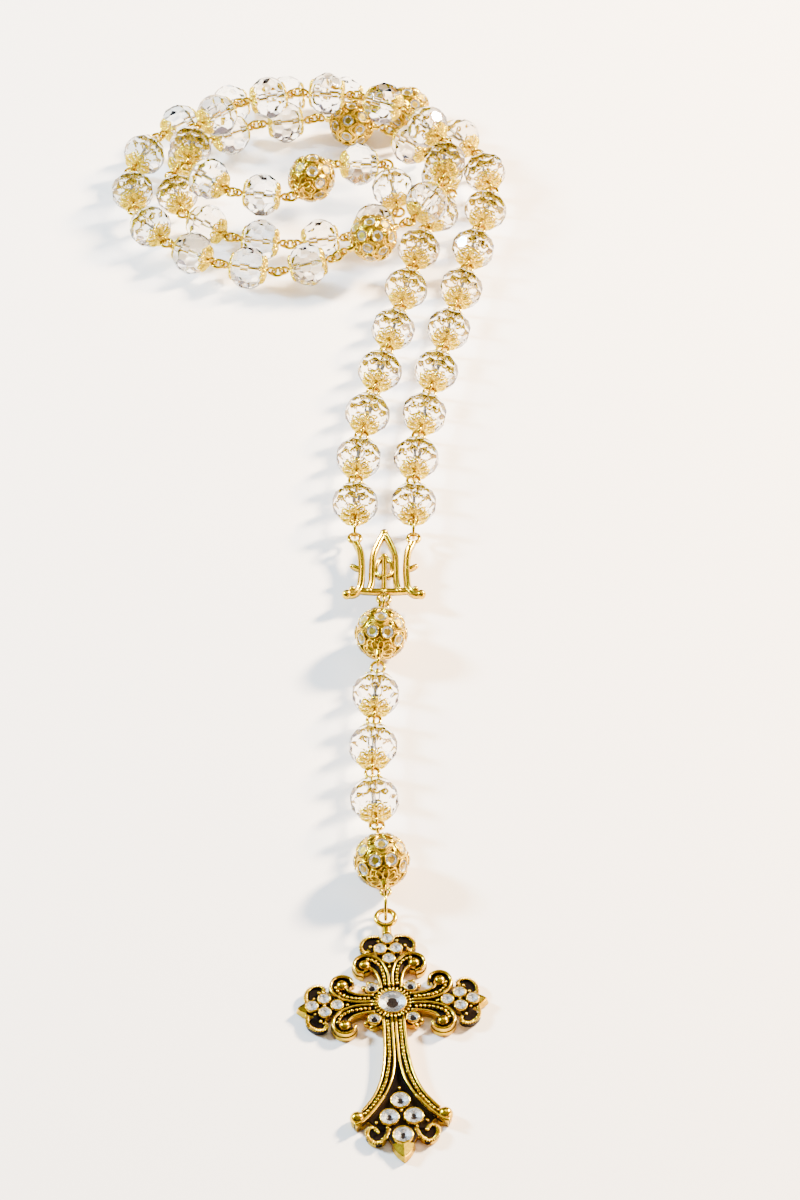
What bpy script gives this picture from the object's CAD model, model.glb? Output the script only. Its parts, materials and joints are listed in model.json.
import json
import math

import bmesh
import bpy
import numpy as np
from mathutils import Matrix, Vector


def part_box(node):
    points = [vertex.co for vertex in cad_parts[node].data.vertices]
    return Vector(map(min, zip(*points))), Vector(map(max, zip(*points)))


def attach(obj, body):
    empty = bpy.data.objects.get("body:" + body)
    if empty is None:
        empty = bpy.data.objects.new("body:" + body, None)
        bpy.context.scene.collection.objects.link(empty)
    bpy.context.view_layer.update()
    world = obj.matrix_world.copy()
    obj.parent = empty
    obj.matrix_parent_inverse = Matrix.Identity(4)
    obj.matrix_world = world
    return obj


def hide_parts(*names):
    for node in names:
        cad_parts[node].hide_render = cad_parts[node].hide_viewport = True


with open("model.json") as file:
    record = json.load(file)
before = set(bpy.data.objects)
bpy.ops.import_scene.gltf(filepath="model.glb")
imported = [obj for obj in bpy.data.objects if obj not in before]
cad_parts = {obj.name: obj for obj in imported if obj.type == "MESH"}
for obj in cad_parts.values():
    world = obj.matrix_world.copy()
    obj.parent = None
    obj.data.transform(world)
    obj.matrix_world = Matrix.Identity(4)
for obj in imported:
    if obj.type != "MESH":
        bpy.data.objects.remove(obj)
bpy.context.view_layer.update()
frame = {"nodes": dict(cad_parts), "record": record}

MM = 0.001
rng = np.random.default_rng(7)
BODY_OF = {n: b for b, ns in frame["record"]["behaviour"]["bodies"].items() for n in ns}


# ---- Vector helpers; every length in this script is in millimetres ----

def unit(v):
    v = np.asarray(v, float)
    return v / np.linalg.norm(v)


def smooth_curve(points, steps=6, closed=False):
    """Catmull-Rom curve through the points."""
    p = np.asarray(points, float)
    if p.shape[1] == 2:
        p = np.column_stack([p, np.zeros(len(p))])
    n = len(p)
    if closed:
        ext = np.vstack([p[-1], p, p[0], p[1]])
        spans = n
    else:
        ext = np.vstack([2 * p[0] - p[1], p, 2 * p[-1] - p[-2]])
        spans = n - 1
    out = []
    for i in range(spans):
        a, b, c, d = ext[i:i + 4]
        for t in np.arange(steps) / steps:
            out.append(0.5 * (2 * b + (c - a) * t + (2 * a - 5 * b + 4 * c - d) * t ** 2
                              + (3 * b - a - 3 * c + d) * t ** 3))
    if not closed:
        out.append(p[-1])
    return np.array(out)


def resample(path, spacing):
    """Points a fixed distance apart along a path, with their tangents."""
    seg = np.linalg.norm(np.diff(path, axis=0), axis=1)
    at = np.concatenate([[0], np.cumsum(seg)])
    count = max(int(round(at[-1] / spacing)), 1)
    s = (np.arange(count) + 0.5) * at[-1] / count
    pts = np.column_stack([np.interp(s, at, path[:, k]) for k in range(3)])
    nxt = np.column_stack([np.interp(s + 0.01, at, path[:, k]) for k in range(3)])
    prv = np.column_stack([np.interp(s - 0.01, at, path[:, k]) for k in range(3)])
    return pts, nxt - prv


# ---- Parts: vertices, faces, material index, smooth flag and wear per vertex ----

class Part:
    def __init__(self, v, faces, mat=0, smooth=True, shade=1.0):
        self.v = np.asarray(v, float)
        self.faces = [np.asarray(f, int) for f in faces if len(f)]
        self.mat = mat
        self.smooth = smooth
        self.shade = np.broadcast_to(np.asarray(shade, float), (len(self.v),)).copy()
        self.outwards()

    def outwards(self):
        vol = 0.0
        for f in self.faces:
            a = self.v[f[:, 0]]
            for k in range(1, f.shape[1] - 1):
                vol += np.einsum("ij,ij->i", a, np.cross(self.v[f[:, k]],
                                                         self.v[f[:, k + 1]])).sum()
        if vol < 0:
            self.faces = [f[:, ::-1] for f in self.faces]

    def placed(self, place):
        """A copy moved by a frame (3x3 axes as columns, centre)."""
        axes, centre = place
        twin = Part.__new__(Part)
        twin.v = self.v @ axes.T + centre
        twin.faces = self.faces
        if np.linalg.det(axes) < 0:
            twin.faces = [f[:, ::-1] for f in self.faces]
        twin.mat, twin.smooth, twin.shade = self.mat, self.smooth, self.shade
        return twin


def spun(axes, degrees):
    a = math.radians(degrees)
    turn = np.array([[math.cos(a), -math.sin(a), 0], [math.sin(a), math.cos(a), 0],
                     [0, 0, 1]])
    return axes @ turn


def facing(direction, centre):
    """A frame whose Z points along direction."""
    z = unit(direction)
    x = unit(np.cross([0, 0, 1] if abs(z[2]) < 0.9 else [1, 0, 0], z))
    return np.column_stack([x, np.cross(z, x), z]), np.asarray(centre, float)


FLIP = (np.diag([1.0, 1.0, -1.0]), np.zeros(3))


def grid_faces(rows, cols, wrap_rows=False):
    """Quads of a tube of rows, each a closed round of cols points."""
    r = np.arange(rows if wrap_rows else rows - 1)
    c = np.arange(cols)
    rr, cc = np.meshgrid(r, c, indexing="ij")
    r2, c2 = (rr + 1) % rows, (cc + 1) % cols
    return np.stack([rr * cols + cc, rr * cols + c2, r2 * cols + c2, r2 * cols + cc],
                    -1).reshape(-1, 4)


def round_profile(radius, sides=8):
    a = np.arange(sides) * 2 * math.pi / sides
    return np.column_stack([np.cos(a) * radius, np.sin(a) * radius])


def sweep(path, profile, closed=False, up=None, scale=None, round_end=0.0, **kw):
    """A profile (side, up) carried along a path, with domed or flat ends."""
    p = np.asarray(path, float)
    n = len(p)
    scale = np.ones(n) if scale is None else np.asarray(scale, float)
    if closed:
        t = np.roll(p, -1, 0) - np.roll(p, 1, 0)
    else:
        t = np.gradient(p, axis=0)
    t /= np.linalg.norm(t, axis=1)[:, None]
    if round_end and not closed:
        ks = np.radians([80, 55, 28])
        head = [p[0] - t[0] * round_end * math.sin(k) for k in ks]
        tail = [p[-1] + t[-1] * round_end * math.sin(k) for k in ks[::-1]]
        p = np.vstack([head, p, tail])
        t = np.vstack([[t[0]] * 3, t, [t[-1]] * 3])
        scale = np.concatenate([np.cos(ks) * scale[0], scale,
                                np.cos(ks[::-1]) * scale[-1]])
        n = len(p)
    ups = np.empty((n, 3))
    if up is not None:
        ups[:] = np.asarray(up, float)
    else:
        u = unit(np.cross(t[0], [0.3, 0.9, 0.2] if abs(t[0] @ unit([0.3, 0.9, 0.2])) < 0.9
                          else [1, 0, 0]))
        for i in range(n):
            u = unit(u - t[i] * (u @ t[i]))
            ups[i] = u
    side = np.cross(t, ups)
    side /= np.linalg.norm(side, axis=1)[:, None]
    ups = np.cross(side, t)
    prof = np.asarray(profile, float)
    v = (p[:, None] + side[:, None] * prof[None, :, :1] * scale[:, None, None]
         + ups[:, None] * prof[None, :, 1:] * scale[:, None, None])
    m = len(prof)
    faces = [grid_faces(n, m, wrap_rows=closed)]
    if not closed:
        faces += [np.arange(m)[::-1][None], (np.arange(m) + (n - 1) * m)[None]]
    return Part(v.reshape(-1, 3), faces, **kw)


def lathe(profile, sides=24, **kw):
    """A closed (r, z) outline turned about Z; an outline that starts and ends on
    the axis is closed by fans, and any other is a ring."""
    prof = np.asarray(profile, float)
    a = np.arange(sides) * 2 * math.pi / sides
    on_axis = abs(prof[0, 0]) < 1e-9 and abs(prof[-1, 0]) < 1e-9
    body = prof[1:-1] if on_axis else prof
    v = np.stack([body[:, :1] * np.cos(a), body[:, :1] * np.sin(a),
                  np.repeat(body[:, 1:], sides, 1)], -1).reshape(-1, 3)
    n = len(body)
    if not on_axis:
        return Part(v, [grid_faces(n, sides, wrap_rows=True)], **kw)
    v = np.vstack([v, [0, 0, prof[0, 1]], [0, 0, prof[-1, 1]]])
    k = np.arange(sides)
    nxt = (k + 1) % sides
    low = np.column_stack([np.full(sides, n * sides), nxt, k])
    high = np.column_stack([np.full(sides, n * sides + 1), (n - 1) * sides + k,
                            (n - 1) * sides + nxt])
    return Part(v, [grid_faces(n, sides), low, high], **kw)


def dome(radius, rings=5, sides=12, below=0.35, **kw):
    """A ball with its lower part cut off flat."""
    start = -math.asin(below)
    a = np.linspace(start, math.pi / 2, rings + 1)
    prof = [[0, radius * math.sin(start)]]
    prof += [[radius * math.cos(x), radius * math.sin(x)] for x in a[:-1]]
    prof += [[0, radius]]
    return lathe(prof, sides, **kw)


def torus(major, minor, steps=28, sides=8, **kw):
    a = np.arange(steps) * 2 * math.pi / steps
    ring = np.column_stack([np.cos(a), np.sin(a), 0 * a]) * major
    return sweep(ring, round_profile(minor, sides), closed=True, up=(0, 0, 1), **kw)


def jump_ring(major, minor):
    """A wire ring with the fine cut where it was closed."""
    a = np.radians(np.linspace(1.2, 358.8, 36))
    ring = np.column_stack([np.cos(a), np.sin(a), 0 * a]) * major
    return sweep(ring, round_profile(minor, 10), up=(0, 0, 1))


def solid_by_planes(planes, bevel=0.0, bore=0.0):
    """The convex solid inside some planes (normal, distance), with its edges
    bevelled and a hole along Z."""
    bm = bmesh.new()
    bmesh.ops.create_cube(bm, size=40)
    for normal, dist in planes:
        n = Vector(normal).normalized()
        geom = bm.verts[:] + bm.edges[:] + bm.faces[:]
        cut = bmesh.ops.bisect_plane(bm, geom=geom, plane_co=n * dist, plane_no=n,
                                     clear_outer=True, dist=1e-5)
        edges = [e for e in cut["geom_cut"] if isinstance(e, bmesh.types.BMEdge)]
        if edges:
            bmesh.ops.contextual_create(bm, geom=edges)
    bmesh.ops.remove_doubles(bm, verts=bm.verts[:], dist=1e-3)
    bmesh.ops.dissolve_degenerate(bm, edges=bm.edges[:], dist=1e-3)
    if bevel:
        bmesh.ops.bevel(bm, geom=bm.edges[:], offset=bevel, segments=1,
                        affect="EDGES", clamp_overlap=True)
    bmesh.ops.recalc_face_normals(bm, faces=bm.faces[:])
    if bore:
        bm = bored(bm, bore)
    out = part_from(bm, smooth=False)
    bm.free()
    return out


def bored(bm, radius):
    """Cuts a round hole along Z, in millimetre units."""
    mesh = bpy.data.meshes.new("bead")
    bm.to_mesh(mesh)
    bm.free()
    bead = bpy.data.objects.new("bead", mesh)
    tool = bmesh.new()
    bmesh.ops.create_cone(tool, cap_ends=True, segments=14, radius1=radius,
                          radius2=radius, depth=30)
    tool_mesh = bpy.data.meshes.new("drill")
    tool.to_mesh(tool_mesh)
    tool.free()
    drill = bpy.data.objects.new("drill", tool_mesh)
    for o in (bead, drill):
        bpy.context.scene.collection.objects.link(o)
    cut = bead.modifiers.new("bore", "BOOLEAN")
    cut.operation = "DIFFERENCE"
    cut.solver = "EXACT"
    cut.object = drill
    done = evaluated(bead)
    result = bmesh.new()
    result.from_mesh(done)
    for o in (bead, drill):
        bpy.data.objects.remove(o)
    return result


def evaluated(obj):
    bpy.context.view_layer.update()
    graph = bpy.context.evaluated_depsgraph_get()
    return bpy.data.meshes.new_from_object(obj.evaluated_get(graph))


def part_from(bm, **kw):
    bm.verts.index_update()
    v = np.array([w.co for w in bm.verts])
    by_count = {}
    for f in bm.faces:
        by_count.setdefault(len(f.verts), []).append([w.index for w in f.verts])
    return Part(v, [np.array(f) for f in by_count.values()], **kw)


def make_piece(name, parts, materials, slot, body, *nodes):
    """One mesh object from its parts, riding on a CAD body in place of CAD nodes."""
    mesh = bpy.data.meshes.new(name)
    v = np.vstack([p.v for p in parts]) * MM
    loops, totals, mats, smooth = [], [], [], []
    base = 0
    for p in parts:
        for f in p.faces:
            loops.append((f + base).ravel())
            totals.append(np.full(len(f), f.shape[1]))
            mats.append(np.full(len(f), p.mat))
            smooth.append(np.full(len(f), p.smooth))
        base += len(p.v)
    loops, totals = np.concatenate(loops), np.concatenate(totals)
    mesh.vertices.add(len(v))
    mesh.vertices.foreach_set("co", v.ravel())
    mesh.loops.add(len(loops))
    mesh.loops.foreach_set("vertex_index", loops)
    mesh.polygons.add(len(totals))
    starts = np.concatenate([[0], np.cumsum(totals)[:-1]])
    mesh.polygons.foreach_set("loop_start", starts)
    mesh.polygons.foreach_set("loop_total", totals)
    mesh.polygons.foreach_set("material_index", np.concatenate(mats))
    mesh.polygons.foreach_set("use_smooth", np.concatenate(smooth))
    mesh.update(calc_edges=True)
    mesh.validate()
    wear = mesh.attributes.new("wear", "FLOAT", "POINT")
    wear.data.foreach_set("value", np.concatenate([p.shade for p in parts]))
    obj = bpy.data.objects.new(name, mesh)
    bpy.context.scene.collection.objects.link(obj)
    for m in materials:
        mesh.materials.append(m)
    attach(obj, body)
    if nodes:
        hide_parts(*nodes)
    return obj


# ---- Where the CAD's solids are ----

def solids(node):
    """The vertices of each separate solid of a CAD node, in millimetres."""
    mesh = frame["nodes"][node].data
    co = np.zeros(len(mesh.vertices) * 3)
    mesh.vertices.foreach_get("co", co)
    co = np.round(co.reshape(-1, 3) / MM, 4)
    pts, same = np.unique(co, axis=0, return_inverse=True)
    same = same.ravel()
    edges = np.zeros(len(mesh.edges) * 2, int)
    mesh.edges.foreach_get("vertices", edges)
    a, b = same[edges.reshape(-1, 2)].T
    label = np.arange(len(pts))
    while True:
        low = label.copy()
        np.minimum.at(low, a, label[b])
        np.minimum.at(low, b, label[a])
        low = low[low]
        if (low == label).all():
            break
        label = low
    return [pts[label == k] for k in np.unique(label)]


def spread_axes(pts):
    """Centre and main axes, longest first, from the box along those axes."""
    mid = (pts.min(0) + pts.max(0)) / 2
    _, axes = np.linalg.eigh(np.cov((pts - pts.mean(0)).T))
    axes = axes[:, ::-1]
    local = (pts - mid) @ axes
    centre = mid + axes @ ((local.min(0) + local.max(0)) / 2)
    return centre, axes, np.ptp(local, axis=0)


def eye_normal(pts, centre, axis, side, reach):
    """The direction of a wire eye's own axis at one end of a pin."""
    t = (pts - centre) @ axis
    end = pts[t * side > reach]
    across = end - np.outer((end - centre) @ axis, axis) - centre
    _, axes = np.linalg.eigh(across.T @ across)
    along = [abs(axes[:, k] @ axis) for k in range(3)]
    rest = [k for k in range(3) if k != int(np.argmax(along))]
    return axes[:, rest[0]]


WIRE_R = 0.35       # wire of the eye pins and rings
EYE_R = 0.95        # eye of a pin, to the middle of its wire
SAME_PLACE = 2.5    # middles closer than this belong to one unit

# Every bead unit of the chain, from its pin: a frame with Z along the chain
pin_nodes = sorted(n for n in frame["nodes"] if "pin" in n)
units = []
for node in pin_nodes:
    for pts in solids(node):
        centre, axes, size = spread_axes(pts)
        z = axes[:, 0]
        reach = size[0] / 2 - 1.6
        eyes = [eye_normal(pts, centre, z, s, reach) for s in (-1, 1)]
        x = eyes[1]
        units.append({"node": node, "centre": centre, "long": size[0],
                      "frame": (np.column_stack([x, np.cross(z, x), z]), centre),
                      "eyes": eyes, "turn": rng.uniform(0, 360)})
centres = np.array([u["centre"] for u in units])


def unit_at(point):
    return units[int(np.argmin(np.linalg.norm(centres - point, axis=1)))]


def units_of(node):
    """The units whose middle is the middle of one of the node's solids."""
    found = []
    for pts in solids(node):
        mid = (pts.min(0) + pts.max(0)) / 2
        u = unit_at(mid)
        if np.linalg.norm(u["centre"] - mid) < SAME_PLACE:
            found.append(u)
    return found


# ---- Materials ----

def material(name):
    m = bpy.data.materials.new(name)
    m.use_nodes = True
    nodes, links = m.node_tree.nodes, m.node_tree.links
    shader = nodes["Principled BSDF"]
    return m, nodes, links, shader


def noise(nodes, links, scale, detail=4.0, rough=0.55):
    coords = nodes.new("ShaderNodeTexCoord")
    tex = nodes.new("ShaderNodeTexNoise")
    tex.inputs["Scale"].default_value = scale
    tex.inputs["Detail"].default_value = detail
    tex.inputs["Roughness"].default_value = rough
    links.new(coords.outputs["Object"], tex.inputs["Vector"])
    return tex


def ramp(nodes, links, source, stops):
    r = nodes.new("ShaderNodeValToRGB")
    el = r.color_ramp.elements
    while len(el) < len(stops):
        el.new(0.5)
    for e, (pos, colour) in zip(el, stops):
        e.position = pos
        e.color = (*colour, 1) if len(colour) == 3 else colour
    links.new(source, r.inputs["Fac"])
    return r


def grey(v):
    return (v, v, v)


def gold(name, light, deep, black, rough):
    """Polished gold plate, darker where the wear attribute is low, with fine
    scratches, small dents and uneven polish."""
    m, nodes, links, shader = material(name)
    patches = noise(nodes, links, 900, 3)
    tone = ramp(nodes, links, patches.outputs["Fac"], [(0.3, deep), (0.62, light)])
    wear = nodes.new("ShaderNodeAttribute")
    wear.attribute_name = "wear"
    grime = noise(nodes, links, 2600, 5, 0.7)
    worn = nodes.new("ShaderNodeMath")
    worn.operation = "MULTIPLY_ADD"
    links.new(grime.outputs["Fac"], worn.inputs[0])
    worn.inputs[1].default_value = 0.5
    links.new(wear.outputs["Fac"], worn.inputs[2])
    mask = ramp(nodes, links, worn.outputs["Value"], [(0.42, grey(0)), (0.8, grey(1))])
    mix = nodes.new("ShaderNodeMix")
    mix.data_type = "RGBA"
    links.new(mask.outputs["Color"], mix.inputs["Factor"])
    mix.inputs["A"].default_value = (*black, 1)
    links.new(tone.outputs["Color"], mix.inputs["B"])
    links.new(mix.outputs["Result"], shader.inputs["Base Color"])
    shader.inputs["Metallic"].default_value = 1.0
    scratches = noise(nodes, links, 5200, 6, 0.75)
    polish = ramp(nodes, links, scratches.outputs["Fac"],
                  [(0.3, grey(rough * 0.7)), (0.75, grey(rough * 1.9))])
    dull = nodes.new("ShaderNodeMix")
    dull.data_type = "RGBA"
    links.new(mask.outputs["Color"], dull.inputs["Factor"])
    dull.inputs["A"].default_value = (0.55, 0.55, 0.55, 1)
    links.new(polish.outputs["Color"], dull.inputs["B"])
    links.new(dull.outputs["Result"], shader.inputs["Roughness"])
    bump = nodes.new("ShaderNodeBump")
    bump.inputs["Strength"].default_value = 0.25
    bump.inputs["Distance"].default_value = 0.02 * MM
    links.new(grime.outputs["Fac"], bump.inputs["Height"])
    links.new(bump.outputs["Normal"], shader.inputs["Normal"])
    return m


def glass(name, tint_a, tint_b, ior, film):
    """Clear cut glass with a faint colour shift, whose shadow lets light through."""
    m, nodes, links, shader = material(name)
    cloud = noise(nodes, links, 160, 2)
    tint = ramp(nodes, links, cloud.outputs["Fac"], [(0.35, tint_a), (0.65, tint_b)])
    links.new(tint.outputs["Color"], shader.inputs["Base Color"])
    smear = noise(nodes, links, 700, 4)
    polish = ramp(nodes, links, smear.outputs["Fac"], [(0.45, grey(0.0)), (0.8, grey(0.05))])
    links.new(polish.outputs["Color"], shader.inputs["Roughness"])
    shader.inputs["Transmission Weight"].default_value = 1.0
    shader.inputs["IOR"].default_value = ior
    shader.inputs["Thin Film Thickness"].default_value = film
    shader.inputs["Thin Film IOR"].default_value = 1.45
    path = nodes.new("ShaderNodeLightPath")
    clear = nodes.new("ShaderNodeBsdfTransparent")
    clear.inputs["Color"].default_value = (0.86, 0.88, 0.92, 1)
    both = nodes.new("ShaderNodeMixShader")
    links.new(path.outputs["Is Shadow Ray"], both.inputs["Fac"])
    links.new(shader.outputs["BSDF"], both.inputs[1])
    links.new(clear.outputs["BSDF"], both.inputs[2])
    links.new(both.outputs["Shader"], nodes["Material Output"].inputs["Surface"])
    return m


def foil(name):
    """The mirror backing of a rhinestone."""
    m, nodes, links, shader = material(name)
    patches = noise(nodes, links, 1500, 2)
    tone = ramp(nodes, links, patches.outputs["Fac"],
                [(0.35, (0.86, 0.85, 0.84)), (0.65, (1.0, 1.0, 1.0))])
    links.new(tone.outputs["Color"], shader.inputs["Base Color"])
    shader.inputs["Metallic"].default_value = 1.0
    shader.inputs["Roughness"].default_value = 0.22
    return m


WIRE_GOLD = gold("wire_gold", (0.62, 0.43, 0.012), (0.45, 0.27, 0.004),
                 (0.2, 0.1, 0.003), 0.15)
CAP_GOLD = gold("filigree_gold", (0.76, 0.57, 0.004), (0.6, 0.42, 0.002),
                (0.3, 0.18, 0.002), 0.2)
BALL_GOLD = gold("ball_gold", (0.78, 0.53, 0.02), (0.62, 0.37, 0.006),
                 (0.05, 0.026, 0.004), 0.16)
CAST_GOLD = gold("cast_gold", (0.7, 0.46, 0.015), (0.5, 0.28, 0.006),
                 (0.03, 0.016, 0.003), 0.19)
ANTIQUE = gold("antique_gold", (0.7, 0.45, 0.008), (0.48, 0.27, 0.003),
               (0.01, 0.006, 0.004), 0.18)
CRYSTAL = glass("crystal", (0.97, 0.98, 1.0), (1.0, 0.99, 0.96), 1.53, 320.0)
RHINESTONE = glass("rhinestone", (0.97, 0.98, 1.0), (1.0, 0.98, 0.95), 1.6, 0.0)
FOIL = foil("stone_foil")


# ---- Crystal beads ----

BEAD_R = 5.0        # half width of the round that the facets touch
BEAD_BULGE = 4.6    # its half length
BEAD_END = 4.0      # half length between the flat ends


def bead_planes():
    planes = [((0, 0, 1), BEAD_END), ((0, 0, -1), BEAD_END)]
    for lat, n, shift, push in ((0, 10, 0.0, 0.98), (31, 10, 0.5, 0.985),
                                (-31, 10, 0.5, 0.985), (59, 10, 0.0, 0.99),
                                (-59, 10, 0.0, 0.99)):
        f = math.radians(lat)
        d = math.hypot(BEAD_R * math.cos(f), BEAD_BULGE * math.sin(f)) * push
        for k in range(n):
            t = 2 * math.pi * (k + shift) / n
            planes.append(((math.cos(f) * math.cos(t), math.cos(f) * math.sin(t),
                            math.sin(f)), d))
    return planes


BEAD = solid_by_planes(bead_planes(), bevel=0.06, bore=0.5)


def crystal_parts(unit_list):
    return [BEAD.placed((spun(u["frame"][0], u["turn"]), u["centre"])) for u in unit_list]


# ---- Filigree caps ----

def surface_z(r):
    """Height of a crystal's end at a distance from its axis."""
    round_z = BEAD_BULGE * np.sqrt(np.maximum(1 - (r / BEAD_R) ** 2, 0))
    return np.minimum(round_z, BEAD_END)


def petal(theta, r_in, r_out, width, wire, height, steps=12, sides=5):
    """A wire loop laid on the surface height(r), between two radii."""
    t = np.arange(steps) * 2 * math.pi / steps
    mid, half = (r_in + r_out) / 2, (r_out - r_in) / 2
    r = mid + half * np.cos(t)
    across = width / 2 * np.sin(t) * (0.72 + 0.28 * (r - r_in) / (r_out - r_in))
    a = theta + across / r
    z = height(r) + wire * 0.8
    path = np.column_stack([r * np.cos(a), r * np.sin(a), z])
    return sweep(path, round_profile(wire, sides), closed=True, up=(0, 0, 1), shade=0.95)


def cap_parts():
    """One filigree cap on the +Z end of a crystal: eight wire petals with a drop
    inside each, a bead between petals, and a ribbed collar."""
    out = []
    for k in range(8):
        th = k * math.pi / 4
        out.append(petal(th, 1.15, 3.3, 1.8, 0.25, surface_z))
        out.append(petal(th, 1.7, 2.75, 0.8, 0.2, surface_z, steps=8, sides=4))
        a = th + math.pi / 8
        r = 3.02    # the beads lie between the tips of the petals
        grain = dome(0.28, rings=2, sides=6, below=0.6)
        out.append(grain.placed((np.eye(3), np.array([r * math.cos(a), r * math.sin(a),
                                                      surface_z(r) + 0.12]))))
    out.append(torus(1.12, 0.17, 16, 5).placed((np.eye(3), np.array([0, 0, 4.13]))))
    out.append(lathe([(0.52, 4.02), (0.95, 4.02), (0.98, 4.15), (0.8, 4.24),
                      (0.84, 4.36), (0.74, 4.46), (0.52, 4.46)], 14))
    return out


CAP = cap_parts()


def caps_for(unit_list):
    out = []
    for u in unit_list:
        for flip in (False, True):
            axes = spun(u["frame"][0], u["turn"] * 1.7 + (40 if flip else 0))
            if flip:
                axes = axes @ FLIP[0]
            out += [p.placed((axes, u["centre"])) for p in CAP]
    return out


# ---- Eye pins and rings ----

def eye_pin(u):
    """A straight wire whose ends are bent into eyes, each on its own side."""
    z = u["frame"][0][:, 2]
    reach = u["long"] / 2 - EYE_R - WIRE_R
    path = []
    for side, normal in ((-1, u["eyes"][0]), (1, u["eyes"][1])):
        lateral = np.cross(normal, z)
        a = np.radians(np.linspace(180, -146, 22))
        path.append([side * z * (reach + EYE_R * math.cos(k))
                     + lateral * EYE_R * math.sin(k) for k in a])
    back = path[0][::-1]
    shank = [-z * s for s in np.linspace(reach - 1.3, -(reach - 1.3), 8)]
    line = np.array(back + shank + path[1]) + u["centre"]
    return sweep(line, round_profile(WIRE_R), round_end=0.12)


def ring_part(pts):
    """A wire ring where the CAD has one, its cut turned at random."""
    centre, axes, size = spread_axes(pts)
    major = (size[0] + size[1]) / 4 - WIRE_R
    turn = rng.uniform(0, 360)
    axes = np.column_stack([axes[:, 0], np.cross(axes[:, 2], axes[:, 0]), axes[:, 2]])
    return jump_ring(major, WIRE_R).placed((spun(axes, turn), centre))


# ---- Rhinestones ----

def brilliant(radius, table, crown, pavilion, n=8):
    """A round stone: glass crown over a mirrored pavilion, girdle at z = 0."""
    planes = [((0, 0, 1), crown)]
    rise = crown / (radius * (1 - table))
    for k in range(n):
        t = 2 * math.pi * k / n
        planes.append(((math.cos(t) * rise, math.sin(t) * rise, 1),
                       radius * rise / math.hypot(rise, 1)))
        t += math.pi / n
        lift = rise * 0.62
        planes.append(((math.cos(t) * lift, math.sin(t) * lift, 1),
                       (crown + radius * table * lift * 1.03) / math.hypot(lift, 1)))
        drop = pavilion / radius
        t = 2 * math.pi * (k + 0.5) / n
        planes.append(((math.cos(t) * drop, math.sin(t) * drop, -1),
                       radius * drop / math.hypot(drop, 1)))
    for k in range(4 * n):
        t = 2 * math.pi * (k + 0.5) / (4 * n)
        planes.append(((math.cos(t), math.sin(t), 0), radius))
    stone = solid_by_planes(planes)
    is_low = [stone.v[f][:, :, 2].mean(1) < -0.02 for f in stone.faces]
    stone.lower = [f[low] for f, low in zip(stone.faces, is_low) if low.any()]
    stone.faces = [f[~low] for f, low in zip(stone.faces, is_low) if not low.all()]
    return stone


class StoneSet:
    """Stones gathered for one object: crown faces in glass, pavilions in foil."""

    def __init__(self):
        self.parts = []

    def add(self, stone, place):
        both = stone.placed(place)
        mirrored_place = np.linalg.det(place[0]) < 0
        both.lower = [f[:, ::-1] if mirrored_place else f for f in stone.lower]
        self.parts.append(both)


def make_stones(name, stones, slot, body, *nodes):
    """One object of stones, each a closed mesh with two materials."""
    v, faces, mats = [], [], []
    base = 0
    for p in stones.parts:
        for group, mat in ((p.faces, 0), (p.lower, 1)):
            for f in group:
                faces += (f + base).tolist()
                mats += [mat] * len(f)
        v.append(p.v)
        base += len(p.v)
    mesh = bpy.data.meshes.new(name)
    mesh.from_pydata((np.vstack(v) * MM).tolist(), [], faces)
    mesh.polygons.foreach_set("material_index", np.array(mats))
    mesh.validate()
    mesh.update()
    obj = bpy.data.objects.new(name, mesh)
    bpy.context.scene.collection.objects.link(obj)
    mesh.materials.append(RHINESTONE)
    mesh.materials.append(FOIL)
    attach(obj, body)
    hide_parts(*nodes)
    return obj


# ---- Rhinestone balls ----

BALL_SKIN = 5.42    # radius on which the stones and the pole petals lie
STONES_IN_ROW = 8
PITCH = 2 * math.pi / STONES_IN_ROW
ROW_RISE = 36       # degrees of latitude between two rows
RIDGE_TURN = np.linspace(0, 2 * math.pi, 145)[:-1]
BALL_STONE = brilliant(1.23, 0.5, 0.42, 0.62)


def stone_frames():
    """The seat of each stone: three rows, each shifted by half a stone."""
    out = []
    for row in (-1, 0, 1):
        for k in range(STONES_IN_ROW):
            a = (k + row / 2) * PITCH
            lat = math.radians(ROW_RISE * row)
            d = np.array([math.cos(lat) * math.cos(a), math.cos(lat) * math.sin(a),
                          math.sin(lat)])
            out.append(facing(d, d * BALL_SKIN))
    return out


def wavy_ridge(radius, lat_degrees, wire):
    """A wire round a ball, at a latitude for each longitude of RIDGE_TURN."""
    lat = np.radians(lat_degrees)
    path = np.column_stack([radius * np.cos(lat) * np.cos(RIDGE_TURN),
                            radius * np.cos(lat) * np.sin(RIDGE_TURN),
                            radius * np.sin(lat)])
    return sweep(path, round_profile(wire, 6), closed=True)


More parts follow.
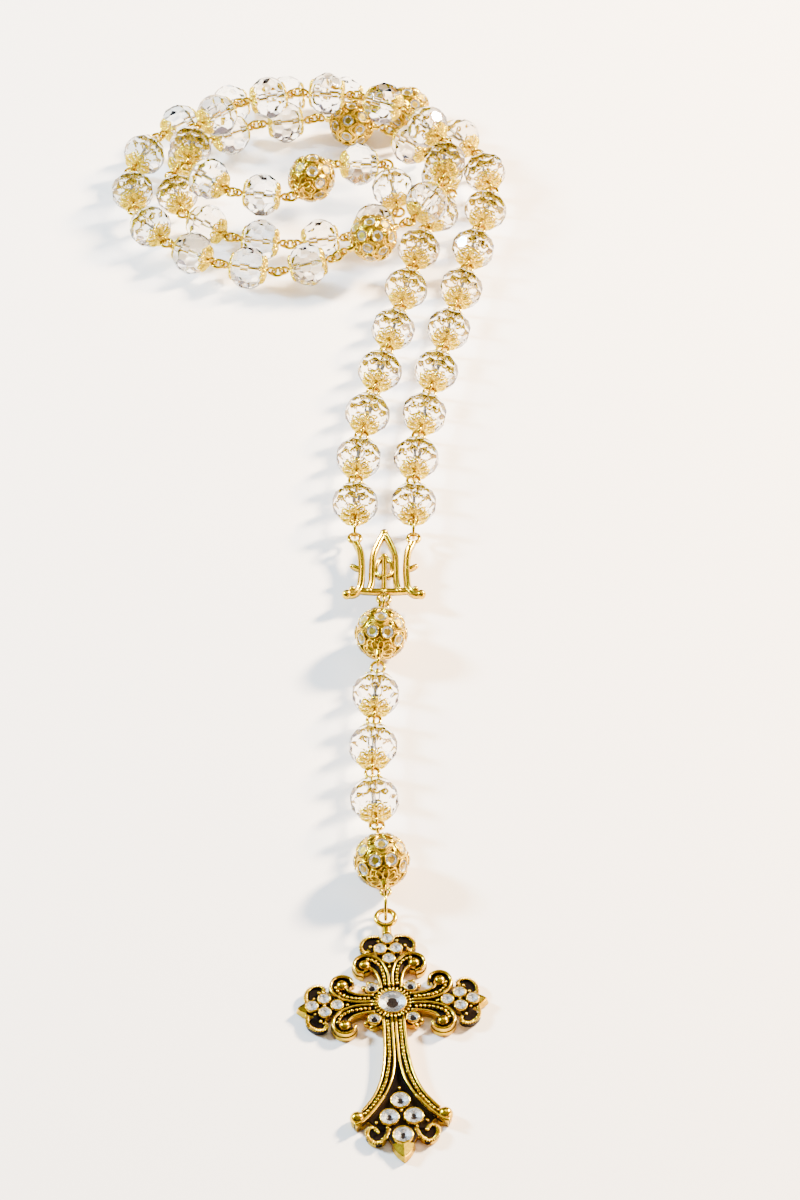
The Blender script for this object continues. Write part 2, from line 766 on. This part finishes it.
def ball_parts():
    """Shell, wavy ridges, stone settings and pole petals of one ball, Z along it."""
    lat = np.radians(np.linspace(-84, 84, 29))
    outer = [(5.18 * math.cos(x), 5.18 * math.sin(x)) for x in lat]
    prof = [(0.52, -5.2)] + outer + [(0.52, 5.2)]
    out = [lathe(prof, 44, shade=0.3)]
    wave = np.cos(STONES_IN_ROW * RIDGE_TURN)
    for half in (1, -1):
        for gap in (-2.6, 2.6):
            out.append(wavy_ridge(5.38, half * (ROW_RISE / 2 + 9 * wave) + gap, 0.19))
        out.append(wavy_ridge(5.36, half * (54.5 - 3.2 * wave), 0.24))
    cup = torus(1.4, 0.13, 22, 6, shade=0.9)
    for axes, centre in stone_frames():
        away = axes[:, 2]
        out.append(cup.placed((axes, centre)))
        for k in range(10):
            a = (k + 0.5) * math.pi / 5
            tip = centre + away * 0.06 + axes @ np.array([1.36 * math.cos(a),
                                                          1.36 * math.sin(a), 0])
            grain = dome(0.17, rings=2, sides=6, below=0.5)
            out.append(grain.placed(facing(away, tip)))
    for flip in (False, True):
        for p in pole_parts():
            out.append(p.placed(FLIP) if flip else p)
    return out


def pole_parts():
    """Nine petals with a bead between each two, and the collar, on the +Z pole."""
    def height(r):
        return np.sqrt(BALL_SKIN ** 2 - r ** 2)
    out = []
    for k in range(9):
        th = k * 2 * math.pi / 9
        out.append(petal(th, 0.95, 2.85, 1.5, 0.17, height, steps=12, sides=5))
        a = th + math.pi / 9
        out.append(dome(0.2, rings=2, sides=6, below=0.6).placed(
            (np.eye(3), np.array([2.75 * math.cos(a), 2.75 * math.sin(a),
                                  float(height(2.75))]))))
    out.append(lathe([(0.52, 5.2), (1.15, 5.25), (1.2, 5.5), (0.9, 5.62), (0.92, 5.8),
                      (0.8, 5.95), (0.8, 6.62), (0.7, 6.74), (0.52, 6.74)], 16))
    return out


BALL = ball_parts()


def balls_for(unit_list):
    return [p.placed(u["frame"]) for u in unit_list for p in BALL]


def ball_stones_for(unit_list):
    stones = StoneSet()
    for u in unit_list:
        axes, centre = u["frame"]
        for a, c in stone_frames():
            stones.add(BALL_STONE, (axes @ a, centre + axes @ c))
    return stones


# ---- The chain ----

def build_beads():
    for node in sorted(frame["nodes"]):
        body = BODY_OF[node]
        if "crystal" in node:
            found = units_of(node)
            make_piece(node + "_cut", crystal_parts(found), [CRYSTAL], "crystal", body, node)
        elif node == "loop_caps":
            near = [np.linalg.norm(centres - p.mean(0), axis=1) for p in solids(node)]
            found = [units[i] for i in sorted({int(np.argmin(d)) for d in near})]
            third = math.ceil(len(found) / 3)
            for k in range(3):
                make_piece(f"{node}_lace_{k + 1}", caps_for(found[k * third:(k + 1) * third]),
                           [CAP_GOLD], "filigree_gold", body, node)
        elif "caps" in node:
            mid = sum(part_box(node), Vector()) / 2 / MM
            make_piece(node + "_lace", caps_for([unit_at(np.array(mid))]), [CAP_GOLD],
                       "filigree_gold", body, node)
        elif "pin" in node:
            found = [u for u in units if u["node"] == node]
            make_piece(node + "_wire", [eye_pin(u) for u in found], [WIRE_GOLD],
                       "gold_wire", body, node)
        elif "ball_shell" in node:
            make_piece(node + "_setting", balls_for(units_of(node)), [BALL_GOLD],
                       "ball_gold", body, node)
        elif "ring" in node:
            make_piece(node + "_wire", [ring_part(p) for p in solids(node)],
                       [WIRE_GOLD], "gold_wire", body, node)
    for node in sorted(n for n in frame["nodes"] if "ball_stones" in n):
        shell = node.replace("stones", "shells") if node.startswith("loop") \
            else node.replace("stones", "shell")
        make_stones(node + "_cut", ball_stones_for(units_of(shell)), "rhinestone",
                    BODY_OF[node], node)


build_beads()


# ---- The cross: local X to the right, Y towards the bail, Z up from the table ----

stone_mid = np.array(sum(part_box("cross_middle_stone"), Vector()) / 2) / MM
CROSS_TURN = 3.8
CROSS_AT = np.array([stone_mid[0], stone_mid[1], 0.0])
ON_CROSS = (spun(np.eye(3), CROSS_TURN), CROSS_AT)
ARMS = (0, 90, 270)
CORNERS = (45, 135, 225, 315)
CORNER_AT = 5.374      # the stones between the arms, from the middle
SMALL_SEAT = 1.15      # inner radius of a small stone's collar


def rail_profile(width, z_low, z_high):
    """A rounded rail: flat foot, upright sides and a domed top."""
    w, h = width / 2, z_high - z_low
    r = min(w, h)
    top = [(w * math.cos(a), h - r + r * math.sin(a))
           for a in np.linspace(0, math.pi, 7)]
    pts = np.array([(w, 0)] + top + [(-w, 0)])
    pts[:, 1] += z_low
    return pts


def rail(points, width, z_low, z_high, lit=0, level=1.0):
    """A cast rail with a polished top; lit names a side that is polished too."""
    path = smooth_curve(points, 6)
    prof = rail_profile(width, z_low, z_high)
    polish = np.clip((prof[:, 1] - z_high + width / 2) / (width / 2) * 1.3, 0.02, 1) * level
    if lit:
        polish = np.where(prof[:, 0] * lit > 0, np.maximum(polish, 0.8), polish)
    return sweep(path, prof, up=(0, 0, 1), shade=np.tile(polish, len(path)))


def mirrored(points):
    return [(-x, y) for x, y in points]


# Scroll of the three upper arms, right half, and of the foot
ARM_INNER = [(0.4, 3.95), (0.42, 6.4), (0.72, 8.2), (1.62, 10.3), (3.1, 11.6), (4.9, 11.95),
             (6.5, 11.15), (7.05, 9.6), (6.45, 8.1), (5.2, 7.55)]
ARM_OUTER = [(2.0, 3.6), (2.1, 5.0), (2.5, 6.9), (3.2, 8.3), (4.0, 8.85)]
ARM_GRAINS = [(1.22, 4.2), (1.25, 6.0), (1.62, 8.2), (2.45, 9.9), (3.6, 10.75), (4.7, 11.0)]
FOOT_INNER = [(0.4, -3.95), (0.42, -11.5), (0.62, -15.0), (1.3, -18.6), (2.9, -22.3),
              (5.4, -25.8), (7.6, -28.1), (9.1, -28.9)]
FOOT_OUTER = [(2.0, -3.6), (2.1, -8.5), (2.4, -13.0), (3.15, -17.6), (4.6, -21.6),
              (6.6, -24.6), (7.5, -25.6)]
FOOT_GRAINS = [(1.22, -4.2), (1.25, -9.5), (1.5, -13.8), (2.25, -18.0), (3.8, -22.0),
               (5.9, -25.2), (7.3, -26.6)]
CRESCENT = [(1.5, 16.9), (2.9, 17.1), (4.4, 16.6), (5.35, 15.3), (5.3, 13.8), (4.4, 13.15),
            (3.7, 13.7)]
FOOT_CURL = [(2.6, -29.6), (3.2, -31.4), (4.5, -32.7), (6.0, -32.4), (6.9, -31.0),
             (6.6, -29.6), (5.5, -29.2), (5.0, -30.0)]
CLUSTER = [(0, 15.9), (-1.6, 13.4), (1.6, 13.4), (0, 10.9)]
FOOT_CLUSTER = [(0, -23.6), (-2.35, -27.4), (2.35, -27.4)]


def at(x, y, z=0.0, degrees=0):
    return spun(np.eye(3), degrees), np.array([x, y, z], float)


def grains(points, spacing, radius, z, long=1.0):
    """A row of cast grains along a path; long ones lie across it as teeth."""
    pts, tangents = resample(smooth_curve(points, 10), spacing)
    out = []
    bead = dome(radius, rings=3, sides=8, below=0.7)
    bead.shade = np.clip((bead.v[:, 2] / radius) * 0.9 + 0.55, 0, 1)
    for p, t in zip(pts, tangents):
        axes = np.column_stack([unit(t), np.cross([0, 0, 1], unit(t)), [0, 0, 1]])
        axes = axes @ np.diag([1, long, 1])
        out.append(bead.placed((axes, np.array([p[0], p[1], z]))))
    return out


def collar(radius, z_low, z_high, wall=0.3):
    """The round wall that holds a stone, with its lip turned in."""
    r = radius
    ring = lathe([(r - 0.05, z_low), (r + wall, z_low), (r + wall, z_high - 0.35),
                  (r + wall * 0.7, z_high - 0.08), (r + 0.06, z_high),
                  (r - 0.05, z_high - 0.04), (r - 0.04, z_high - 0.2),
                  (r - 0.05, z_high - 0.3)], 28)
    z = ring.v[:, 2]
    ring.shade = np.clip((z - z_low) / (z_high - z_low) * 1.3, 0, 1)
    return ring


def arm_relief():
    """Rails, volutes, grains, teeth and stone collars of one arm along +Y."""
    out = []
    for flip in (False, True):
        m = mirrored if flip else list
        sign = -1 if flip else 1
        out.append(rail(m(ARM_INNER), 0.5, 0.3, 2.5))
        out.append(rail(m(ARM_INNER[3:]), 0.66, 0.3, 2.5, lit=-sign))
        out.append(rail(m(ARM_OUTER), 0.56, 0.3, 2.35, lit=sign))
        out += grains(m(ARM_GRAINS), 0.84, 0.37, 2.08)
        ball = dome(1.3, rings=7, sides=20, below=0.9)
        ball.shade = np.clip(ball.v[:, 2] / 1.3 + 0.75, 0, 1)
        out.append(ball.placed(at(sign * 4.95, 9.7, 1.5)))
        out.append(rail(m(CRESCENT), 0.5, 0.3, 1.5, level=0.3))
        out += grains(m(CRESCENT), 0.44, 0.19, 1.55, long=2.6)
        out.append(dome(0.36, rings=3, sides=10).placed(at(sign * 3.5, 14.35, 1.7)))
        out.append(dome(0.28, rings=3, sides=8).placed(at(sign * 1.9, 15.4, 2.0)))
    out.append(dome(0.38, rings=3, sides=10, below=0.7).placed(at(0, 8.9, 1.9)))
    out.append(dome(0.3, rings=3, sides=8).placed(at(0, 13.4, 2.1)))
    for x, y in CLUSTER:
        out.append(collar(SMALL_SEAT, 0.4, 2.45, 0.22).placed(at(x, y)))
    return out


def arch_lobe(half, bend, back, z_top):
    """A pointed cast end beyond an arm's last stone, along +Y, with a soft ridge."""
    planes = [((0, 0, -1), -0.25), ((0, -1, 0), -back)]
    tip = math.acos((bend - half) / bend)
    for a in np.linspace(0.03, tip - 0.04, 9):
        for s in (-1, 1):
            n = np.array([s * math.cos(a), math.sin(a), 0.2])
            edge = np.array([s * (half - bend + bend * math.cos(a)), bend * math.sin(a), 0.8])
            planes.append((n, float(n @ edge) / np.linalg.norm(n)))
    for s in (-1, 1):
        n = np.array([s * 0.32, 0.2, 1.0])
        planes.append((n, z_top / np.linalg.norm(n)))
    lobe = solid_by_planes(planes, bevel=0.12)
    lobe.shade = np.clip(lobe.v[:, 2] / z_top + 0.3, 0, 1)
    return lobe


def disc(radius, height):
    return lathe([(0, 0.0), (radius, 0.0), (radius, height), (0, height)], 40)


def slab(outline, height):
    """A flat plate from a convex or star-shaped outline."""
    ring = np.array(outline, float)
    n = len(ring)
    v = np.vstack([np.column_stack([ring, np.zeros(n)]),
                   np.column_stack([ring, np.full(n, height)])])
    k = np.arange(n)
    return Part(v, [grid_faces(2, n), k[::-1][None], (k + n)[None]])


PLATE_T = 1.5


def plate_parts():
    """The overlapping shapes of the cross's base plate."""
    out = [disc(5.0, PLATE_T)]
    arm = rail_profile(2.6, 0, PLATE_T)
    volute = rail_profile(1.0, 0, PLATE_T)
    for turn in ARMS:
        place = at(0, 0, 0, turn)
        for m in (list, mirrored):
            for points, profile in ((ARM_GRAINS, arm), (ARM_INNER[4:], volute)):
                path = smooth_curve(m(points), 5)
                out.append(sweep(path, profile, up=(0, 0, 1)).placed(place))
            s = 1 if m is list else -1
            out.append(disc(1.7, PLATE_T).placed(place_on(place, s * 4.9, 9.8)))
            out.append(disc(1.75, 1.2).placed(place_on(place, s * 3.6, 15.1)))
        out.append(disc(2.75, PLATE_T).placed(place_on(place, 0, 13.6)))
        out.append(disc(1.7, PLATE_T).placed(place_on(place, 0, 15.9)))
        out.append(slab([(-2.2, 9.0), (2.2, 9.0), (2.9, 12), (-2.9, 12)], PLATE_T).placed(place))
    for m in (list, mirrored):
        out.append(sweep(smooth_curve(m(FOOT_GRAINS), 5), rail_profile(2.4, 0, PLATE_T),
                         up=(0, 0, 1)))
        s = 1 if m is list else -1
        out.append(disc(1.6, PLATE_T).placed(at(s * 8.2, -27.2)))
        out.append(disc(2.0, 1.2).placed(at(s * 5.0, -31.0)))
    out.append(slab([(0.7, -9), (-0.7, -9), (-1.6, -18), (1.6, -18)], PLATE_T))
    out.append(slab([(-1.0, -17), (1.0, -17), (3.0, -21.5), (6.6, -27.6), (4.5, -30),
                     (-4.5, -30), (-6.6, -27.6), (-3.0, -21.5)][::-1], PLATE_T))
    out.append(disc(3.0, PLATE_T).placed(at(0, -30.6)))
    out.append(disc(2.2, PLATE_T).placed(at(0, -32.6)))
    for turn in CORNERS:
        out.append(disc(1.7, 1.6).placed(place_on(at(0, 0, 0, turn), CORNER_AT, 0)))
    return out


def place_on(place, x, y):
    axes, centre = place
    return axes, centre + axes @ np.array([x, y, 0.0])


def melted(name, parts, voxel, rounds):
    """The parts joined into one cast skin, its edges softened."""
    obj = make_piece(name, parts, [ANTIQUE], "antique_gold", "cross")
    skin = obj.modifiers.new("skin", "REMESH")
    skin.mode = "VOXEL"
    skin.voxel_size = voxel * MM
    skin.use_smooth_shade = True
    soft = obj.modifiers.new("soft", "SMOOTH")
    soft.iterations = rounds
    soft.factor = 0.5
    mesh = evaluated(obj)
    obj.modifiers.clear()
    old = obj.data
    obj.data = mesh
    bpy.data.meshes.remove(old)
    mesh.name = name
    wear = mesh.attributes.get("wear") or mesh.attributes.new("wear", "FLOAT", "POINT")
    co = np.zeros(len(mesh.vertices) * 3)
    mesh.vertices.foreach_get("co", co)
    z = co[2::3] / MM
    nz = np.zeros(len(mesh.vertices) * 3)
    mesh.vertices.foreach_get("normal", nz)
    flat = np.abs(nz[2::3])
    wear.data.foreach_set("value", np.where(z > 1.0, 0.02 + 0.75 * (1 - flat) ** 2, 0.75))
    return obj


def build_cross():
    relief = []
    for turn in ARMS:
        place = at(0, 0, 0, turn)
        relief += [p.placed(place) for p in arm_relief()]
        if turn:
            relief.append(arch_lobe(1.5, 3.2, 0.7, 2.4).placed(place_on(place, 0, 16.3)))
    for flip in (False, True):
        m = mirrored if flip else list
        sign = -1 if flip else 1
        relief.append(rail(m(FOOT_INNER), 0.5, 0.3, 2.5))
        relief.append(rail(m(FOOT_INNER[4:]), 0.7, 0.3, 2.55, lit=sign))
        relief.append(rail(m(FOOT_OUTER), 0.58, 0.3, 2.4, lit=-sign))
        relief += grains(m(FOOT_GRAINS), 0.84, 0.38, 2.08)
        ball = dome(1.5, rings=7, sides=20, below=0.9)
        ball.shade = np.clip(ball.v[:, 2] / 1.5 + 0.75, 0, 1)
        relief.append(ball.placed(at(sign * 8.5, -27.0, 1.5)))
        relief.append(rail(m(FOOT_CURL), 0.5, 0.3, 1.5, level=0.3))
        relief += grains(m(FOOT_CURL), 0.44, 0.19, 1.55, long=2.6)
        relief.append(dome(0.42, rings=3, sides=10).placed(at(sign * 4.75, -30.5, 1.7)))
        relief.append(dome(0.34, rings=3, sides=8).placed(at(sign * 4.9, -28.4, 1.8)))
        relief.append(dome(0.3, rings=3, sides=8).placed(at(sign * 2.9, -29.75, 1.9)))
    for y in (-20.6, -26.0):
        relief.append(dome(0.36, rings=3, sides=10, below=0.6).placed(at(0, y, 1.95)))
    for x, y in FOOT_CLUSTER:
        relief.append(collar(1.75, 0.4, 2.45, 0.24).placed(at(x, y)))
    relief.append(collar(1.8, 0.4, 2.5, 0.3).placed(at(0, -31.7)))
    relief.append(arch_lobe(2.3, 5.2, 0.9, 2.6).placed(place_on(at(0, 0, 0, 180), 0, 32.5)))
    for turn in CORNERS:
        place = at(0, 0, 0, turn)
        relief.append(collar(SMALL_SEAT, 0.4, 2.4, 0.26).placed(place_on(place, CORNER_AT, 0)))
        for y in (-0.75, 0.75):
            ear = dome(0.6, rings=5, sides=12, below=0.8)
            axes, centre = place_on(place, 6.7, y)
            relief.append(ear.placed((axes @ np.diag([1.5, 1, 1.2]), centre + [0, 0, 1.2])))
    relief.append(collar(2.7, 0.6, 2.6, 0.22))
    circle = [(3.35 * math.cos(a), 3.35 * math.sin(a))
              for a in np.linspace(0, 2 * math.pi, 29)]
    relief += grains(circle, 2 * math.pi * 3.35 / 28, 0.25, 2.15, long=2.2)
    bail = torus(1.9, 0.55, 36, 12)
    relief.append(bail.placed(at(0, 20.9, 2.6)))
    neck = sweep(smooth_curve([(0, 17.0), (0, 18.2), (0, 19.4)], 4),
                 rail_profile(2.0, 0.9, 2.85), up=(0, 0, 1))
    relief.append(neck)
    make_piece("cross_relief", [p.placed(ON_CROSS) for p in relief], [ANTIQUE],
               "antique_gold", "cross", "cross_casting")
    plate = melted("cross_plate", [p.placed(ON_CROSS) for p in plate_parts()], 0.17, 3)
    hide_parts("cross_casting")

    small = StoneSet()
    gem = brilliant(1.14, 0.5, 0.5, 0.75)
    foot_gem = brilliant(1.74, 0.5, 0.6, 0.95)
    for turn in ARMS:
        for x, y in CLUSTER:
            spot = place_on(at(0, 0, 2.28, turn), x, y)
            small.add(gem, joined(ON_CROSS, spot))
    for x, y in FOOT_CLUSTER:
        small.add(foot_gem, joined(ON_CROSS, at(x, y, 2.2)))
    for turn in CORNERS:
        small.add(gem, joined(ON_CROSS, place_on(at(0, 0, 2.05, turn), CORNER_AT, 0)))
    small.add(brilliant(1.79, 0.5, 0.6, 0.95), joined(ON_CROSS, at(0, -31.7, 2.2)))
    make_stones("cross_small_stones_cut", small, "rhinestone", "cross", "cross_small_stones")
    middle = StoneSet()
    middle.add(brilliant(2.66, 0.45, 0.85, 1.25, 12), joined(ON_CROSS, at(0, 0, 2.3, 10)))
    make_stones("cross_middle_stone_cut", middle, "middle_stone", "cross",
                "cross_middle_stone")


def joined(outer, inner):
    return outer[0] @ inner[0], outer[1] + outer[0] @ inner[1]


build_cross()


# ---- The centrepiece ----

def bar(points, width):
    """A cast bar with two ridges and a dark groove between them."""
    w = width / 2
    prof = np.array([(w, -0.6), (w, 0.2), (0.62 * w, 0.72), (0.3 * w, 0.62), (0, 0.15),
                     (-0.3 * w, 0.62), (-0.62 * w, 0.72), (-w, 0.2), (-w, -0.6)])
    polish = np.array([0.25, 0.9, 1, 0.8, 0, 0.8, 1, 0.9, 0.25])
    path = smooth_curve(points, 6)
    return sweep(path, prof, up=(0, 0, 1), shade=np.tile(polish, len(path)))


def build_centrepiece():
    low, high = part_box("centrepiece")
    centre = np.array([(low[0] + high[0]) / 2, 0, 0]) / MM
    centre[1] = low[1] / MM + 1.75
    centre[2] = (low[2] + high[2]) / 2 / MM
    out = []
    for s in (-1, 1):
        out.append(bar([(s * 6.3, 17.4), (s * 5.9, 16.3), (s * 5.2, 14), (s * 4.9, 9),
                        (s * 5.1, 4.5), (s * 5.6, 2.6), (s * 6.6, 1.5), (s * 7.6, 1.4)], 1.6))
        out.append(bar([(s * 4.9, 9.2), (s * 5.9, 9.2), (s * 6.8, 9.8)], 0.9))
        out.append(bar([(s * 0.1, 20.0), (s * 1.3, 17.0), (s * 2.4, 13.2), (s * 2.6, 9),
                        (s * 2.7, 5.2), (s * 3.2, 2.5)], 1.5))
        out.append(bar([(0, 2.3), (s * 2.4, 2.2), (s * 4.4, 2.4), (s * 5.6, 2.6)], 1.3))
        out.append(bar([(s * 0.5, 12.2), (s * 1.3, 11.2), (s * 1.7, 9.6), (s * 1.6, 7.6),
                        (s * 0.7, 6.4)], 0.95))
        out.append(torus(1.3, 0.45, 28, 10).placed(at(s * 6.5, 18.6)))
        for x, y, r in ((8.1, 1.4, 1.1), (6.9, 3.0, 0.75), (7.0, 9.9, 0.6), (5.7, 15.8, 0.75),
                        (4.95, 12.0, 0.62), (3.2, 2.4, 0.75), (2.5, 12.9, 0.62)):
            ball = dome(r, rings=8, sides=16, below=0.999)
            out.append(ball.placed(at(s * x, y)))
    out.append(bar([(0, 1.5), (0, 5), (0, 9), (0, 12.7)], 1.2))
    for y, r in ((20.2, 0.95), (12.9, 0.8), (6.4, 0.7), (2.3, 0.8)):
        out.append(dome(r, rings=8, sides=18, below=0.999).placed(at(0, y)))
    out.append(torus(1.3, 0.45, 28, 10))
    make_piece("centrepiece_scroll", [p.placed((np.eye(3), centre)) for p in out],
               [CAST_GOLD], "centrepiece_gold", BODY_OF["centrepiece"], "centrepiece")


build_centrepiece()


# ---- Floor, lights and camera ----

def build_stage():
    m, nodes, links, shader = material("floor")
    cloud = noise(nodes, links, 9, 3)
    tone = ramp(nodes, links, cloud.outputs["Fac"],
                [(0.3, (0.97, 0.84, 0.76)), (0.7, (0.98, 0.86, 0.785))])
    links.new(tone.outputs["Color"], shader.inputs["Base Color"])
    shader.inputs["Roughness"].default_value = 0.75
    shader.inputs["Specular IOR Level"].default_value = 0.2
    mesh = bpy.data.meshes.new("floor")
    mesh.from_pydata([(-6, -6, -0.00002), (6, -6, -0.00002), (6, 6, -0.00002),
                      (-6, 6, -0.00002)], [], [(0, 1, 2, 3)])
    mesh.materials.append(m)
    floor = bpy.data.objects.new("floor", mesh)
    bpy.context.scene.collection.objects.link(floor)


def area_light(name, at_m, aim_m, size, power, colour):
    data = bpy.data.lights.new(name, "AREA")
    data.shape = "RECTANGLE"
    data.size, data.size_y = size
    data.energy = power
    data.color = colour
    lamp = bpy.data.objects.new(name, data)
    lamp.location = at_m
    lamp.rotation_euler = (Vector(aim_m) - Vector(at_m)).to_track_quat("-Z", "Y").to_euler()
    bpy.context.scene.collection.objects.link(lamp)


def build_lights():
    world = bpy.data.worlds.new("studio")
    world.use_nodes = True
    bpy.context.scene.world = world
    nodes, links = world.node_tree.nodes, world.node_tree.links
    coords = nodes.new("ShaderNodeTexCoord")
    split = nodes.new("ShaderNodeSeparateXYZ")
    links.new(coords.outputs["Generated"], split.inputs["Vector"])
    sky = ramp(nodes, links, split.outputs["Z"],
               [(0.0, (0.6, 0.52, 0.44)), (0.14, (0.1, 0.07, 0.045)), (0.5, (0.3, 0.28, 0.26)),
                (0.82, (1.0, 0.98, 0.95))])
    links.new(sky.outputs["Color"], nodes["Background"].inputs["Color"])
    nodes["Background"].inputs["Strength"].default_value = 0.3
    mid = (0.0, 0.0, 0.0)
    area_light("key", (0.8, 0.45, 0.6), mid, (0.16, 0.16), 108, (1.0, 0.85, 0.62))
    area_light("fill", (-0.9, 0.25, 0.6), mid, (0.18, 0.18), 60, (0.55, 0.78, 1.0))
    area_light("top", (0.1, 0.3, 1.2), mid, (0.7, 0.4), 4, (1.0, 0.97, 0.92))
    area_light("glow", (0.55, -0.25, 0.12), (0, -0.1, 0), (0.3, 0.12), 4.0, (1.0, 0.66, 0.3))


def build_camera():
    data = bpy.data.cameras.new("camera")
    data.lens = 107.6
    data.sensor_width = 36.0
    data.clip_start = 0.01
    cam = bpy.data.objects.new("camera", data)
    cam.location = ((CROSS_AT[0] + 1.5) * MM, (CROSS_AT[1] - 430.6) * MM, 0.5694)
    cam.rotation_euler = (math.radians(90 - 46.4), 0, 0)
    bpy.context.scene.collection.objects.link(cam)
    bpy.context.scene.camera = cam


build_stage()
build_lights()
build_camera()
